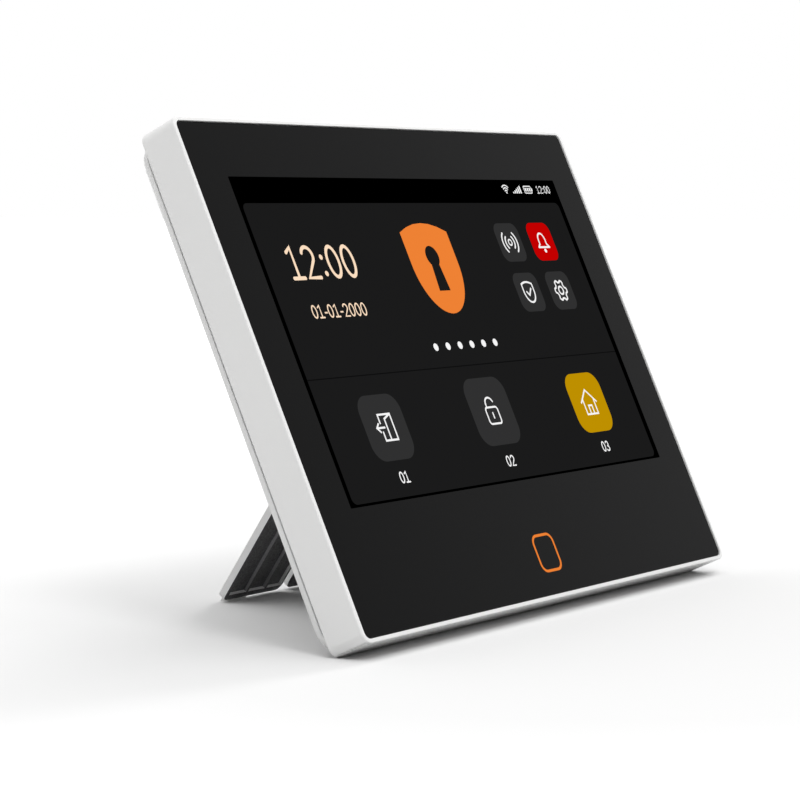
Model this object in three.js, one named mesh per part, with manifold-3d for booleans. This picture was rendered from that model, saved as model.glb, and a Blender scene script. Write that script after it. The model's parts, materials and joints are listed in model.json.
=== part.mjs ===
// A table-top alarm panel with a 7-inch touch display, leaning back on a fold-out stand.
// Millimetres. The panel is drawn upright: x runs to the right, y from the glass to the back,
// z up, from the middle of the glass front. At the end it leans back onto its stand, and the
// finished object stands on z = 0 with its box centred on the origin.
import * as THREE from 'three'
import { mergeVertices } from 'three/addons/utils/BufferGeometryUtils.js'
import Module from 'manifold-3d'

const wasm = await Module()
wasm.setup()

// Clearances and the walls of the moulding
const seatGap = 0.3
const screwGap = 0.12
const runGap = 0.3
const overrun = 1
const wall = 2

// Display and front glass, with the black borders round the display's window
const displayWidth = 154.2
const displayHeight = 85.9
const sideBorder = 12.85
const topBorder = 14.3
const bottomBorder = 31.1
const glassThickness = 1.1
const glassCorner = 1.6
const glassBevel = 0.15
const cellMargin = 4.5
const cellThickness = 1.2
const filmMargin = 3
const filmThickness = 0.4
const trayWall = 0.6
const trayFloor = 0.8

// Front frame
const glassGap = 0.2
const rimWidth = 1.05
const rimProud = 0.3
const frameDepth = 10.45
const frontRound = 0.3
const backRound = 0.5
const plateThickness = 1.4

// Touch key below the display
const keySize = 10.2
const keyCorner = 2.4
const keyRise = 11.05
const keyFlange = 1.6
const keyFlangeThickness = 0.8
const keyBoardWidth = 24
const keyBoardHeight = 15
const keyBoardThickness = 1
const keyPostRadius = 1.5

// Rear cover, with a groove where it meets the frame and a skirt that enters the frame
const coverInset = 1
const coverRound = 2.8
const coverInnerRound = 1.5
const coverCorner = 7
const coverSink = 1.8
const grooveWidth = 0.9
const grooveDepth = 1
const skirtWall = 1.4

// Raised platform on the rear cover, which carries the hinge and takes the folded stand
const platformSideGap = 42.2
const platformTopGap = 12.9
const platformBottomGap = 7.9
const platformDepth = 24
const platformCorner = 9
const platformRound = 2
const recessFloorWall = 2

// Stand
const standSideWall = 13.4
const standShort = 0.6
const standThickness = 2
const standCorner = 1.5
const standRim = 1.6
const standPocket = 0.9
const standRibs = 7
const ribPitchShare = 0.12
const ribWidth = 0.8
const standOpenAngle = 58.5
const slotPitch = 15.5
const slotWidth = 2.6
const slotHeight = 8
const slotMouthRound = 2.2
const slotRim = 0.7
const tabRise = 9.5
const recessGap = 0.5
const padLength = 8
const padDrop = 0.35
const padInset = 1.2

// Hinge
const hingeDrop = 53.6
const barrelRadius = 1.8
const pinRadius = 0.8
const pinGap = 0.1
const pinGrip = 5
const lugWidth = 5
const lugPitch = 36
const latheSteps = 24
const boreSteps = 16
const cornerSteps = 6
const roundSteps = 6
const leanPasses = 6

// Screws: those of the cover, then those of the board
const coverScrewInset = 16.2
const coverHeadRadius = 2.2
const coverHeadHeight = 1.6
const coverShankRadius = 1.2
const shankEndGap = 0.35
const coverColumnRadius = 4.2
const coverScrewSink = 2.2
const coverBossRadius = 3.2
const coverHeadGap = 0.4
const recessWidthShare = 0.28
const recessLengthShare = 1.2
const recessDepthShare = 0.5
const headEdgeShare = 0.6
const headCrownShare = 0.7
const boardHeadRadius = 1.7
const boardHeadHeight = 1.1
const boardShankRadius = 0.9
const boardShankLength = 3.4
const boardBossRadius = 2.6
const boardBossShare = 0.375
const boardHoleFloor = 0.5
const boardScrewInset = 4.5

// Main board between the speaker, the key board and the cover's screws, and what sits on it
const boardSpeakerGap = 7
const boardSideGap = 10.2
const boardKeyGap = 9.1
const boardScrewGap = 0.5
const boardThickness = 1.6
const shieldWall = 0.4
const shieldBackGap = 0.65
const processorWidth = 36
const processorHeight = 30
const processorShift = -9
const processorRise = 8
const radioWidth = 26
const radioHeight = 22
const radioInset = 28
const radioRise = 14

// Battery in the upper platform, between the room's walls and the small board
const batteryGap = 4.5
const batteryWireGap = 8
const batteryDepthShare = 0.6
const batteryCorner = 2.5
const batteryRound = 1.4

// Speaker behind its grille, beside the platform
const speakerSideGap = 5
const speakerRise = 39.9
const speakerRadius = 13
const speakerFrontGap = 0.55
const speakerRim = 1.2
const magnetRadius = 7
const coneRadius = 10.5
const coneDepth = 2
const speakerRingWall = 1.2
const speakerRingDepth = 2.4
const grilleSlots = 9
const grillePitch = 2.5
const grilleSlotHeight = 1.2
const grilleRadius = 12

// Aerials on the back of the middle plate
const aerialThickness = 0.4
const wifiWidth = 38
const wifiHeight = 8
const wifiX = -30
const mobileWidth = 10
const mobileHeight = 46
const mobileInset = 12.2
const mobileDrop = 47.9

// Small board behind the platform's right wall, with the supply inlet and the power switch
const portBoardWidth = 17
const portBoardHeight = 32
const portBoardThickness = 1.2
const portBoardDrop = 25
const portPostRadius = 2
const portPostInset = 3.5
const socketWidth = 9
const socketHeight = 3.2
const socketLength = 8
const socketWall = 0.3
const socketDrop = 22
const socketFloor = 1.6
const socketTongue = 0.8
const socketTongueSink = 0.8
const switchLength = 8.6
const switchWidth = 5
const switchHeight = 3.2
const switchDrop = 36
const knobLength = 3
const knobHeight = 1.5
const knobTravel = 2.5
const knobProud = 0.9
const knobGrooves = 3
const knobGrooveDepth = 0.25
const knobGrooveShare = 0.14

// Tamper plunger, pressed by the wall behind the panel
const tamperInset = 12.2
const tamperDrop = 14
const tamperRadius = 2
const tamperFlange = 1
const tamperFlangeRadius = 3.2
const tamperProud = 1.5
const tamperTravel = 1.2
const tamperBody = 9
const tamperTip = 0.5

// Sizes and places that follow from those above
const glassWidth = displayWidth + 2 * sideBorder
const glassHeight = displayHeight + topBorder + bottomBorder
const displayRise = (bottomBorder - topBorder) / 2
const keyDrop = glassHeight / 2 - keyRise
const frameWidth = glassWidth + 2 * (glassGap + rimWidth)
const frameHeight = glassHeight + 2 * (glassGap + rimWidth)
const frameCorner = glassCorner + glassGap + rimWidth
const filmFront = glassThickness + seatGap
const shelfDepth = filmFront + filmThickness + seatGap
const cellBack = shelfDepth + cellThickness
const trayBack = cellBack + seatGap + trayFloor
const plateFront = trayBack + seatGap
const plateBack = plateFront + plateThickness
const coverWidth = frameWidth - 2 * coverInset
const coverHeight = frameHeight - 2 * coverInset
const coverFront = frameDepth + grooveWidth
const coverBack = coverFront + coverRound
const coverInner = coverBack - wall
const shieldBack = coverInner - shieldBackGap
const boardRoom = shieldBack - plateBack - boardThickness - 2 * seatGap
const boardBossHeight = boardRoom * boardBossShare
const boardFront = plateBack + boardBossHeight + seatGap
const boardBack = boardFront + boardThickness
const coverScrewX = coverWidth / 2 - coverScrewInset
const coverScrewZ = coverHeight / 2 - coverScrewInset
const coverSeatDepth = coverBack - coverScrewSink
const coverShankLength = coverSeatDepth + seatGap - plateBack - shankEndGap
const platformSide = coverWidth / 2 - platformSideGap
const platformWidth = 2 * platformSide
const platformTop = coverHeight / 2 - platformTopGap
const platformBottom = platformBottomGap - coverHeight / 2
const standWidth = 2 * (platformSide - standSideWall)
const hingeHeight = platformTop - hingeDrop
const standLength = frameHeight / 2 + hingeHeight - standShort
const pivotDepth = platformDepth - barrelRadius
const recessFloor = platformDepth - standThickness - runGap
const batteryRoomBack = platformDepth - wall
const cellWidth = displayWidth + 2 * cellMargin
const cellHeight = displayHeight + 2 * cellMargin
const trayWidth = cellWidth + 2 * (seatGap + trayWall)
const trayHeight = cellHeight + 2 * (seatGap + trayWall)
const standOuter = barrelRadius
const standInner = barrelRadius - standThickness
const speakerX = -(platformSide + speakerSideGap + speakerRadius)
const speakerZ = speakerRise - coverHeight / 2
const boardLeft = speakerX + speakerRadius + boardSpeakerGap
const boardRight = coverWidth / 2 - boardSideGap
const boardBottom = keyBoardHeight / 2 - keyDrop + boardKeyGap
const boardTop = coverScrewZ - coverBossRadius - boardScrewGap
const boardX = (boardLeft + boardRight) / 2
const boardZ = (boardBottom + boardTop) / 2
const openAngle = THREE.MathUtils.degToRad(standOpenAngle)

// Colours and finishes
const finish = (color, roughness, metalness = 0) =>
  new THREE.MeshStandardMaterial({ color, roughness, metalness })
const whitePlastic = finish(0xf1f1ef, 0.45)
const blackGlass = finish(0x101114, 0.08)
const darkFilm = finish(0x20242a, 0.3)
const displayGlass = finish(0x05070a, 0.15)
const blackFoam = finish(0x151515, 0.9)
const steel = finish(0xb9bcc0, 0.3, 1)
const circuitGreen = finish(0x1f5c3a, 0.5)
const blackPlastic = finish(0x1c1c1e, 0.5)
const clearPlastic = finish(0xf2a468, 0.25)
const batteryWrap = finish(0x3b4046, 0.4)
const greyRubber = finish(0xdedfe0, 0.8)
const copperFlex = finish(0xb0793a, 0.5, 0.4)

// Geometry to solid and back
function solidFrom(source) {
  const bare = source.index ? source.toNonIndexed() : source.clone()
  for (const name of Object.keys(bare.attributes)) {
    if (name !== 'position') bare.deleteAttribute(name)
  }
  const merged = mergeVertices(bare)
  const vertProperties = new Float32Array(merged.attributes.position.array)
  const triVerts = new Uint32Array(merged.index.array)
  return new wasm.Manifold(new wasm.Mesh({ numProp: 3, vertProperties, triVerts }))
}

function geometryFrom(solid) {
  const mesh = solid.getMesh()
  const geometry = new THREE.BufferGeometry()
  geometry.setAttribute('position', new THREE.BufferAttribute(new Float32Array(mesh.vertProperties), 3))
  geometry.setIndex(new THREE.BufferAttribute(new Uint32Array(mesh.triVerts), 1))
  geometry.computeVertexNormals()
  return geometry
}

const join = solids => solids.reduce((whole, next) => whole.add(next))
const cut = (solid, cutters) => cutters.reduce((rest, next) => rest.subtract(next), solid)

// A box between two places on each axis
function box([x0, x1], [y0, y1], [z0, z1]) {
  const geometry = new THREE.BoxGeometry(x1 - x0, y1 - y0, z1 - z0)
  return solidFrom(geometry.translate((x0 + x1) / 2, (y0 + y1) / 2, (z0 + z1) / 2))
}

// A round bar along y between two depths
function post(radius, [y0, y1], x, z, steps = boreSteps) {
  const geometry = new THREE.CylinderGeometry(radius, radius, y1 - y0, steps)
  return solidFrom(geometry.translate(x, (y0 + y1) / 2, z))
}

// A round bar along x, centred on a line through y and z
function bar(radius, [x0, x1], y, z, steps = boreSteps) {
  const geometry = new THREE.CylinderGeometry(radius, radius, x1 - x0, steps).rotateZ(Math.PI / 2)
  return solidFrom(geometry.translate((x0 + x1) / 2, y, z))
}

// A closed solid through rounded rectangles that face y. Each station is a depth and the
// distance that the outline draws in there.
function loft(width, height, corner, stations, x = 0, z = 0) {
  const points = []
  const index = []
  const quarter = Math.PI / 2
  const ringPoints = 4 * (cornerSteps + 1)
  const signs = [[1, 1], [-1, 1], [-1, -1], [1, -1]]
  for (const [depth, inset] of stations) {
    const radius = corner - inset
    signs.forEach(([sx, sz], k) => {
      for (let step = 0; step <= cornerSteps; step++) {
        const angle = k * quarter + quarter * step / cornerSteps
        points.push(x + sx * (width / 2 - corner) + radius * Math.cos(angle), depth,
          z + sz * (height / 2 - corner) + radius * Math.sin(angle))
      }
    })
  }
  const last = (stations.length - 1) * ringPoints
  for (let i = 1; i < ringPoints - 1; i++) {
    index.push(0, i, i + 1)
    index.push(last, last + i + 1, last + i)
  }
  for (let ring = 0; ring < stations.length - 1; ring++) {
    for (let i = 0; i < ringPoints; i++) {
      const here = ring * ringPoints + i
      const next = ring * ringPoints + (i + 1) % ringPoints
      index.push(here, here + ringPoints, next + ringPoints)
      index.push(here, next + ringPoints, next)
    }
  }
  const geometry = new THREE.BufferGeometry()
  geometry.setAttribute('position', new THREE.Float32BufferAttribute(points, 3))
  geometry.setIndex(index)
  return solidFrom(geometry)
}

// Stations of a quarter-round edge that starts at a depth and turns towards the back
function roundedBack(start, radius, inset = 0) {
  return Array.from({ length: roundSteps + 1 }, (_, k) => {
    const angle = Math.PI / 2 * k / roundSteps
    return [start + radius * Math.sin(angle), inset + radius * (1 - Math.cos(angle))]
  })
}

// The same edge turned towards the front
const roundedFront = (start, radius) =>
  roundedBack(0, radius).reverse().map(([depth, inset]) => [start + radius - depth, inset])

// A prism along y from an outline in x and z
function prism(outline, [y0, y1], curveSegments = cornerSteps) {
  const geometry = new THREE.ExtrudeGeometry(outline, { depth: y1 - y0, bevelEnabled: false, curveSegments })
  return solidFrom(geometry.rotateX(Math.PI / 2).translate(0, y1, 0))
}

// A prism along x from an outline in y and z
function prismAlongX(outline, [x0, x1]) {
  const geometry = new THREE.ExtrudeGeometry(outline, { depth: x1 - x0, bevelEnabled: false })
  return solidFrom(geometry.rotateX(Math.PI / 2).rotateZ(Math.PI / 2).translate(x0, 0, 0))
}

// A solid of revolution about y; the profile gives radius and depth
function turned(profile, x, z, steps = latheSteps) {
  const outline = profile.map(([radius, depth]) => new THREE.Vector2(radius, depth))
  return solidFrom(new THREE.LatheGeometry(outline, steps).translate(x, 0, z))
}

const around = (centre, size) => [centre - size / 2, centre + size / 2]
const mirrored = (x, z) => [[x, z], [-x, z], [x, -z], [-x, -z]]

const panel = new THREE.Group()
const stand = new THREE.Group()
panel.add(stand)

function place(name, solid, material, group = panel) {
  const mesh = new THREE.Mesh(geometryFrom(solid), material)
  mesh.name = name
  group.add(mesh)
}

// Glass, gasket, film and display
function coverGlass() {
  const stations = [[0, glassBevel], [glassBevel, 0], [glassThickness, 0]]
  return loft(glassWidth, glassHeight, glassCorner, stations)
}

function glassGasket() {
  const span = [[filmFront, 0], [filmFront + filmThickness, 0]]
  const outer = loft(glassWidth, glassHeight, glassCorner, span)
  const inner = box(around(0, trayWidth), [0, shelfDepth], around(displayRise, trayHeight))
  const keySpan = keySize + 2 * keyFlange
  const keyRoom = box(around(0, keySpan), [0, shelfDepth], around(-keyDrop, keySpan))
  return cut(outer, [inner, keyRoom])
}

function touchSensor() {
  return box(around(0, displayWidth + 2 * filmMargin), [filmFront, filmFront + filmThickness],
    around(displayRise, displayHeight + 2 * filmMargin))
}

function displayCell() {
  return box(around(0, cellWidth), [shelfDepth, cellBack], around(displayRise, cellHeight))
}

function backlightTray() {
  const outer = box(around(0, trayWidth), [shelfDepth, trayBack], around(displayRise, trayHeight))
  const inner = box(around(0, cellWidth + 2 * seatGap), [0, cellBack + seatGap],
    around(displayRise, cellHeight + 2 * seatGap))
  return outer.subtract(inner)
}

// Front frame: rim, glass shelf, display pocket, middle plate and bosses in one moulding
const frameStations = [
  ...roundedFront(-rimProud, frontRound),
  ...roundedBack(frameDepth - backRound, backRound)
]
const boardHoleX = (boardRight - boardLeft) / 2 - boardScrewInset
const boardHoleZ = (boardTop - boardBottom) / 2 - boardScrewInset
const boardHoles = mirrored(boardHoleX, boardHoleZ).map(([x, z]) => [x + boardX, z + boardZ])
const keyPosts = [-1, 1].map(side => side * (keySize / 2 + keyFlange + 2 * keyPostRadius))

function frontFrame() {
  const body = loft(frameWidth, frameHeight, frameCorner, frameStations)
  const glassRoom = loft(glassWidth + 2 * glassGap, glassHeight + 2 * glassGap, glassCorner + glassGap,
    [[-rimProud - overrun, 0], [shelfDepth, 0]])
  const displayRoom = box(around(0, trayWidth + 2 * seatGap), [0, plateFront],
    around(displayRise, trayHeight + 2 * seatGap))
  const keyRoom = loft(keySize + 2 * seatGap, keySize + 2 * seatGap, keyCorner + seatGap,
    [[0, 0], [frameDepth, 0]], 0, -keyDrop)
  const backRoom = loft(coverWidth, coverHeight, coverCorner,
    [[plateBack, grooveDepth - seatGap], [frameDepth + overrun, grooveDepth - seatGap]])
  const shell = cut(body, [glassRoom, displayRoom, backRoom])
  const root = plateBack - plateThickness / 2
  const coverBosses = mirrored(coverScrewX, coverScrewZ)
    .map(([x, z]) => post(coverBossRadius, [root, frameDepth], x, z))
  const boardBosses = boardHoles
    .map(([x, z]) => post(boardBossRadius, [root, plateBack + boardBossHeight], x, z))
  const keyPostBack = plateBack + seatGap + keyFlangeThickness
  const keyBosses = keyPosts.map(x => post(keyPostRadius, [root, keyPostBack], x, -keyDrop))
  const coverHoles = mirrored(coverScrewX, coverScrewZ)
    .map(([x, z]) => post(coverShankRadius + screwGap, [plateBack, frameDepth + overrun], x, z))
  const screwHoles = boardHoles
    .map(([x, z]) => post(boardShankRadius + screwGap, [plateFront + boardHoleFloor, boardFront], x, z))
  const moulded = join([shell, ...coverBosses, ...boardBosses, ...keyBosses])
  return cut(moulded, [keyRoom, ...coverHoles, ...screwHoles])
}

// Touch key
function keyLightGuide() {
  const front = plateBack + seatGap
  const pipe = loft(keySize, keySize, keyCorner,
    [[filmFront, 0], [front + keyFlangeThickness / 2, 0]], 0, -keyDrop)
  const flange = loft(keySize + 2 * keyFlange, keySize + 2 * keyFlange, keyCorner + keyFlange,
    [[front, 0], [front + keyFlangeThickness, 0]], 0, -keyDrop)
  return pipe.add(flange)
}

const keyBoardFront = plateBack + keyFlangeThickness + 2 * seatGap
function keyBoard() {
  return box(around(0, keyBoardWidth), [keyBoardFront, keyBoardFront + keyBoardThickness],
    around(-keyDrop, keyBoardHeight))
}

// Main board
function mainBoard() {
  const board = box([boardLeft, boardRight], [boardFront, boardBack], [boardBottom, boardTop])
  const through = [boardFront - overrun, boardBack + overrun]
  return cut(board, boardHoles.map(([x, z]) => post(boardShankRadius + screwGap, through, x, z)))
}

function shieldCan(width, height, x, z) {
  const can = box(around(x, width), [boardBack + seatGap, shieldBack], around(z, height))
  const room = box(around(x, width - 2 * shieldWall), [boardBack, shieldBack - shieldWall],
    around(z, height - 2 * shieldWall))
  return can.subtract(room)
}

// A pan-head screw along y with a cross recess; its head faces the back
function screw(headRadius, headHeight, shankRadius, shankLength, seat, x, z) {
  const body = turned([
    [0, seat - shankLength], [shankRadius, seat - shankLength], [shankRadius, seat],
    [headRadius, seat], [headRadius, seat + headHeight * headEdgeShare],
    [headRadius * headCrownShare, seat + headHeight],
    [0, seat + headHeight]
  ], x, z, boreSteps)
  const width = headRadius * recessWidthShare
  const length = headRadius * recessLengthShare
  const depth = [seat + headHeight * (1 - recessDepthShare), seat + headHeight + overrun]
  return cut(body, [
    box(around(x, width), depth, around(z, length)),
    box(around(x, length), depth, around(z, width))
  ])
}

// The room in the upper platform, which holds the battery and the small board
const upperRoomBottom = hingeHeight + barrelRadius + 2 * wall
const upperRoomTop = platformTop - wall
const upperRoomSide = platformSide - wall
const portBoardSide = upperRoomSide - seatGap

// Battery, speaker and aerials
function batteryPack() {
  const back = batteryRoomBack - seatGap
  const front = back - (back - boardBack) * batteryDepthShare
  const stations = [...roundedFront(front, batteryRound), ...roundedBack(back - batteryRound, batteryRound)]
  const left = batteryGap - upperRoomSide
  const right = portBoardSide - portBoardWidth - batteryWireGap
  const bottom = upperRoomBottom + batteryGap
  const top = upperRoomTop - batteryGap
  return loft(right - left, top - bottom, batteryCorner, stations, (left + right) / 2, (bottom + top) / 2)
}

const speakerBack = coverInner - seatGap
function speaker() {
  const front = plateBack + speakerFrontGap
  return turned([
    [0, front], [magnetRadius, front], [magnetRadius, (front + speakerBack) / 2],
    [coneRadius, speakerBack - 2 * speakerRim], [speakerRadius, speakerBack - speakerRim],
    [speakerRadius, speakerBack], [coneRadius, speakerBack], [coneRadius / 2, speakerBack - coneDepth],
    [coneRadius / 4, speakerBack - coneDepth / 2], [0, speakerBack - coneDepth / 2]
  ], speakerX, speakerZ)
}

function aerial(width, height, x, z) {
  const front = plateBack + seatGap
  return box(around(x, width), [front, front + aerialThickness], around(z, height))
}
const wifiZ = (boardTop + coverHeight / 2) / 2
const mobileX = mobileInset - coverWidth / 2
const mobileZ = coverHeight / 2 - mobileDrop

// Small board with the inlet, the switch and the tamper switch
const portBoardZ = platformTop - portBoardDrop
const socketZ = platformTop - socketDrop
const switchZ = platformTop - switchDrop
const tamperX = portBoardSide - tamperInset
const tamperZ = platformTop - tamperDrop
const socketBack = batteryRoomBack - seatGap
const socketFront = socketBack - socketHeight
const portBoardBack = socketFront - seatGap
const portBoardFront = portBoardBack - portBoardThickness
const portPosts = [portBoardZ - portBoardHeight / 2 + portPostInset, socketZ]
  .map(z => [portBoardSide - portBoardWidth + portPostInset, z])
const socketDepth = (socketFront + socketBack) / 2

function portBoard() {
  return box([portBoardSide - portBoardWidth, portBoardSide], [portBoardFront, portBoardBack],
    around(portBoardZ, portBoardHeight))
}

// A rounded slot in the y-z plane, for the inlet and its hole
function slotOutline(width, height, y, z) {
  const outline = new THREE.Shape()
  const radius = height / 2
  const straight = width / 2 - radius
  outline.absarc(y, z + straight, radius, 0, Math.PI, false)
  outline.absarc(y, z - straight, radius, Math.PI, 2 * Math.PI, false)
  return outline
}

function powerSocket() {
  const mouth = platformSide - seatGap
  const shellSolid = prismAlongX(slotOutline(socketWidth, socketHeight, socketDepth, socketZ),
    [mouth - socketLength, mouth])
  const bore = slotOutline(socketWidth - 2 * socketWall, socketHeight - 2 * socketWall, socketDepth, socketZ)
  const room = prismAlongX(bore, [mouth - socketLength + socketFloor, mouth + overrun])
  const tongue = box([mouth - socketLength + socketFloor / 2, mouth - socketTongueSink],
    around(socketDepth, socketTongue), around(socketZ, socketWidth - 2 * socketHeight + socketTongue))
  return shellSolid.subtract(room).add(tongue)
}

const switchFront = portBoardBack + seatGap
const switchDepth = switchFront + switchHeight / 2
const switchSide = upperRoomSide - seatGap
const knobRest = switchZ - knobTravel / 2
function switchBody() {
  const body = box([switchSide - switchWidth, switchSide], [switchFront, switchFront + switchHeight],
    around(switchZ, switchLength))
  const channel = box([switchSide - switchWidth / 2, switchSide + overrun],
    around(switchDepth, knobHeight + 2 * runGap), around(switchZ, knobLength + knobTravel + 2 * runGap))
  return body.subtract(channel)
}

function switchKnob() {
  const tip = platformSide + knobProud
  const knob = box([switchSide - switchWidth / 2 + runGap, tip], around(switchDepth, knobHeight),
    around(knobRest, knobLength))
  const groove = knobLength * knobGrooveShare
  const grooves = Array.from({ length: knobGrooves }, (_, k) => {
    const z = knobRest + (k - (knobGrooves - 1) / 2) * 2 * groove
    return box([tip - knobGrooveDepth, tip + overrun], around(switchDepth, switchHeight), around(z, groove))
  })
  return cut(knob, grooves)
}

const tamperFlangeBack = batteryRoomBack - seatGap
function tamperSwitch() {
  const front = portBoardBack + seatGap
  const back = tamperFlangeBack - tamperFlange / 2
  const floor = tamperFlangeBack - tamperFlange - tamperTravel - runGap
  const body = box(around(tamperX, tamperBody), [front, back], around(tamperZ, tamperBody))
  return body.subtract(post(tamperFlangeRadius + runGap, [floor, back + overrun], tamperX, tamperZ))
}

function tamperPlunger() {
  const tip = platformDepth + tamperProud
  return turned([
    [0, tamperFlangeBack - tamperFlange], [tamperFlangeRadius, tamperFlangeBack - tamperFlange],
    [tamperFlangeRadius, tamperFlangeBack], [tamperRadius, tamperFlangeBack], [tamperRadius, tip - tamperTip],
    [tamperRadius - tamperTip, tip], [0, tip]
  ], tamperX, tamperZ, latheSteps)
}

// Stand, drawn folded against the back with the hinge line at its origin
function slotCutter(x, grow = 0) {
  const half = slotWidth / 2 + grow
  const mouth = slotMouthRound - grow
  const low = -standLength
  const outline = new THREE.Shape()
  outline.moveTo(x - half - mouth, low - overrun)
  outline.lineTo(x - half - mouth, low)
  outline.absarc(x - half - mouth, low + mouth, mouth, -Math.PI / 2, 0, false)
  outline.absarc(x, low + slotHeight - slotWidth / 2, half, Math.PI, 0, true)
  outline.absarc(x + half + mouth, low + mouth, mouth, Math.PI, 1.5 * Math.PI, false)
  outline.lineTo(x + half + mouth, low - overrun)
  outline.closePath()
  return outline
}

const slotPlaces = [-slotPitch / 2, slotPitch / 2]
const lugPlaces = [-lugPitch / 2, lugPitch / 2]

function kickstand() {
  const side = standWidth / 2
  const bend = standCorner - standLength
  const outline = new THREE.Shape()
  outline.moveTo(side, 0)
  outline.lineTo(-side, 0)
  outline.absarc(standCorner - side, bend, standCorner, Math.PI, 1.5 * Math.PI, false)
  outline.absarc(side - standCorner, bend, standCorner, 1.5 * Math.PI, 2 * Math.PI, false)
  outline.closePath()
  const plate = prism(outline, [standInner, standOuter])
  const barrel = bar(barrelRadius, [-side, side], 0, 0)
  const pocketDepth = [standInner - overrun, standInner + standPocket]
  const pocketTop = -barrelRadius - standRim
  const pocket = box([-side + standRim, side - standRim], pocketDepth, [-standLength + standRim, pocketTop])
  const ribs = Array.from({ length: standRibs }, (_, k) => {
    const x = (k - (standRibs - 1) / 2) * ribPitchShare * standWidth
    return box(around(x, ribWidth), pocketDepth, [-standLength, 0])
  })
  const slotWalls = slotPlaces.map(x => prism(slotCutter(x, slotRim), pocketDepth))
  const tab = box(around(0, slotPitch), pocketDepth, [-standLength, -standLength + tabRise])
  const slots = slotPlaces.map(x => prism(slotCutter(x), [standInner - overrun, standOuter + overrun]))
  const lugRooms = lugPlaces.map(x => bar(barrelRadius + runGap, around(x, lugWidth + 2 * runGap), 0, 0))
  const pinHole = bar(pinRadius + pinGap, [-side - overrun, side + overrun], 0, 0)
  return cut(plate.add(barrel), [cut(pocket, [...ribs, ...slotWalls, tab]), ...slots, ...lugRooms, pinHole])
}

// How far the panel leans: the stand's foot and the frame's lower back edge share the table
const standEnd = -(standLength + seatGap + padDrop)
const foot = new THREE.Vector3(0, standInner, standEnd)
  .applyAxisAngle(new THREE.Vector3(1, 0, 0), openAngle)
  .add(new THREE.Vector3(0, pivotDepth, hingeHeight))
let lean = 0
const drop = point => point.depth * Math.sin(lean) - point.height * Math.cos(lean)
for (let pass = 0; pass < leanPasses; pass++) {
  const rest = frameStations
    .map(([depth, inset]) => ({ depth, height: inset - frameHeight / 2 }))
    .reduce((lowest, next) => (drop(next) > drop(lowest) ? next : lowest))
  lean = Math.atan2(foot.z - rest.height, foot.y - rest.depth)
}

// A soft pad under each end of the stand, with its underside flat on the table
function standPad(side) {
  const slope = Math.tan(openAngle - lean)
  const outline = new THREE.Shape()
  outline.moveTo(standInner, standEnd)
  outline.lineTo(standOuter, standEnd - standThickness * slope)
  outline.lineTo(standOuter, -standLength - seatGap)
  outline.lineTo(standInner, -standLength - seatGap)
  outline.closePath()
  const padMiddle = side * (standWidth / 2 - standCorner - padInset - padLength / 2)
  return prismAlongX(outline, around(padMiddle, padLength))
}

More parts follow.
